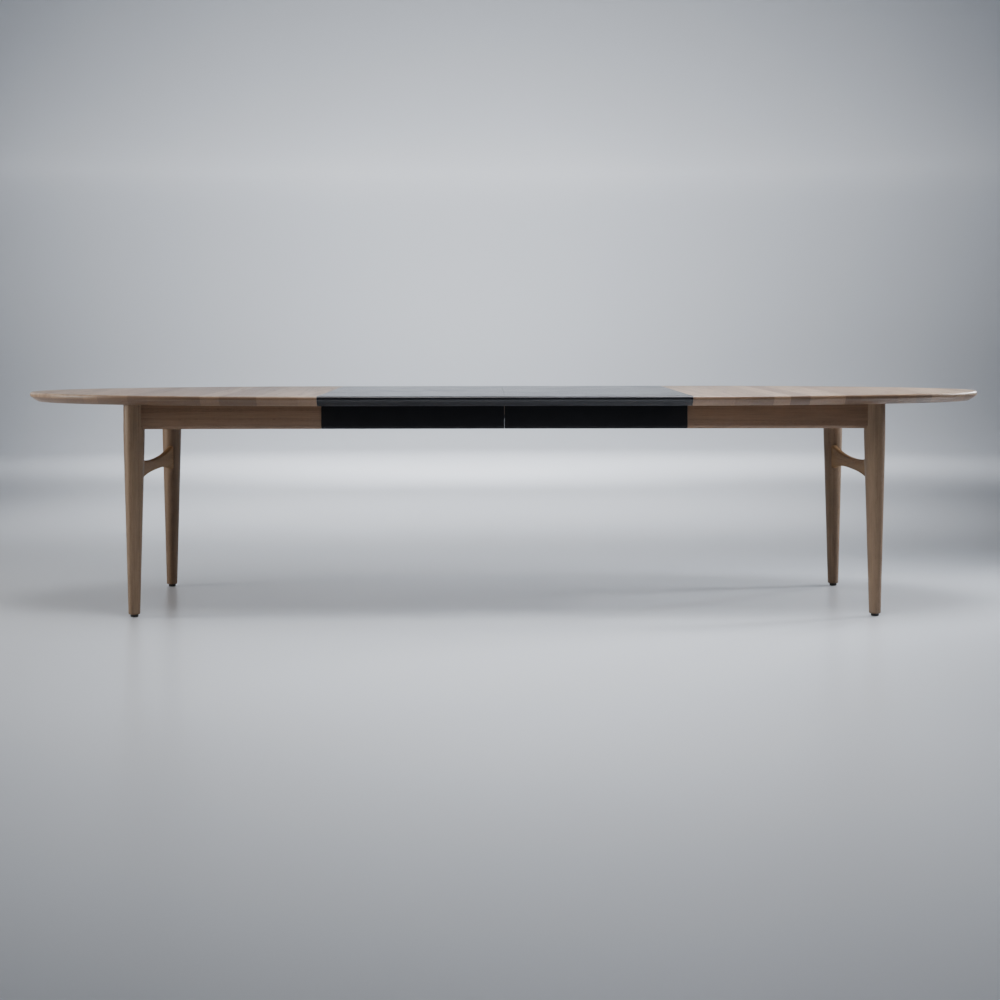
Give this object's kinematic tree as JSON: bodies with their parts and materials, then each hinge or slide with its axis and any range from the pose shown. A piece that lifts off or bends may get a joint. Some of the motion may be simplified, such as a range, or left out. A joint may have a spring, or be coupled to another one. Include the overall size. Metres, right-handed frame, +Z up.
{
  "type": "extendable dining table",
  "caption": "Oval oak dining table on round tapered legs with arched end stretchers, drawn out on wooden runners around black extension leaves that lift out.",
  "frame": {"origin": "on the floor under the middle of the drawn-out top", "axes": "+X along the table to its right end, +Y to its back, +Z up"},
  "size_m": [3.28, 1.15, 0.73],
  "materials": {
    "oak": "solid oak staves, matt oil",
    "black_lacquer": "satin black lacquer on a wooden panel",
    "beech": "planed and waxed",
    "steel": "zinc plated",
    "nylon": "black moulded"
  },
  "bodies": {
    "centre_runners": {"centre_front_runner": "beech", "centre_rear_runner": "beech", "centre_left_tie": "beech", "centre_right_tie": "beech"},
    "left_half": {"left_half_top": "oak", "left_end_rail": "oak", "left_arched_stretcher": "oak", "left_front_leg": "oak", "left_front_glide": "nylon", "left_front_apron": "oak", "left_front_corner_block": "beech", "left_front_runner": "beech", "left_front_latch_plate": "steel", "left_rear_leg": "oak", "left_rear_glide": "nylon", "left_rear_apron": "oak", "left_rear_corner_block": "beech", "left_rear_runner": "beech", "left_rear_latch_plate": "steel"},
    "left_middle_runners": {"left_middle_front_runner": "beech", "left_middle_rear_runner": "beech", "left_middle_tie": "beech"},
    "left_leaf": {"left_leaf_top": "black_lacquer", "left_leaf_guide": "beech", "left_leaf_front_apron": "black_lacquer", "left_leaf_front_cleat": "beech", "left_front_latch_catch": "steel", "left_leaf_rear_apron": "black_lacquer", "left_leaf_rear_cleat": "beech", "left_rear_latch_catch": "steel"},
    "left_front_latch_arm": {"left_front_latch_arm": "steel"},
    "left_rear_latch_arm": {"left_rear_latch_arm": "steel"},
    "right_half": {"right_half_top": "oak", "right_end_rail": "oak", "right_arched_stretcher": "oak", "right_front_leg": "oak", "right_front_glide": "nylon", "right_front_apron": "oak", "right_front_corner_block": "beech", "right_front_runner": "beech", "right_front_latch_plate": "steel", "right_rear_leg": "oak", "right_rear_glide": "nylon", "right_rear_apron": "oak", "right_rear_corner_block": "beech", "right_rear_runner": "beech", "right_rear_latch_plate": "steel"},
    "right_middle_runners": {"right_middle_front_runner": "beech", "right_middle_rear_runner": "beech", "right_middle_tie": "beech"},
    "right_leaf": {"right_leaf_top": "black_lacquer", "right_leaf_guide": "beech", "right_leaf_front_apron": "black_lacquer", "right_leaf_front_cleat": "beech", "right_front_latch_catch": "steel", "right_leaf_rear_apron": "black_lacquer", "right_leaf_rear_cleat": "beech", "right_rear_latch_catch": "steel"},
    "right_front_latch_arm": {"right_front_latch_arm": "steel"},
    "right_rear_latch_arm": {"right_rear_latch_arm": "steel"}
  },
  "joints": [
    {"name": "left_half_slide", "type": "slide", "parent": "centre_runners", "child": "left_half", "axis": [-1, 0, 0], "range_m": [0, 0.03]},
    {"name": "left_middle_slide", "type": "slide", "parent": "centre_runners", "child": "left_middle_runners", "axis": [-1, 0, 0], "range_m": [0, 0.015]},
    {"name": "left_leaf_lift", "type": "slide", "parent": "centre_runners", "child": "left_leaf", "axis": [0, 0, 1], "range_m": [0, 0.25]},
    {"name": "left_front_latch_swing", "type": "hinge", "parent": "left_half", "child": "left_front_latch_arm", "pos_m": [-0.626, -0.31, 0.693], "axis": [0, 0, 1], "range_deg": [-34.38, 0]},
    {"name": "left_rear_latch_swing", "type": "hinge", "parent": "left_half", "child": "left_rear_latch_arm", "pos_m": [-0.626, 0.31, 0.693], "axis": [0, 0, -1], "range_deg": [-34.38, 0]},
    {"name": "right_half_slide", "type": "slide", "parent": "centre_runners", "child": "right_half", "axis": [1, 0, 0], "range_m": [0, 0.03]},
    {"name": "right_middle_slide", "type": "slide", "parent": "centre_runners", "child": "right_middle_runners", "axis": [1, 0, 0], "range_m": [0, 0.015]},
    {"name": "right_leaf_lift", "type": "slide", "parent": "centre_runners", "child": "right_leaf", "axis": [0, 0, 1], "range_m": [0, 0.25]},
    {"name": "right_front_latch_swing", "type": "hinge", "parent": "right_half", "child": "right_front_latch_arm", "pos_m": [0.626, -0.31, 0.693], "axis": [0, 0, -1], "range_deg": [-34.38, 0]},
    {"name": "right_rear_latch_swing", "type": "hinge", "parent": "right_half", "child": "right_rear_latch_arm", "pos_m": [0.626, 0.31, 0.693], "axis": [0, 0, 1], "range_deg": [-34.38, 0]}
  ],
  "couplings": [
    {"joint": "left_middle_slide", "follows": "left_half_slide", "ratio": 0.5},
    {"joint": "right_middle_slide", "follows": "right_half_slide", "ratio": 0.5}
  ]
}
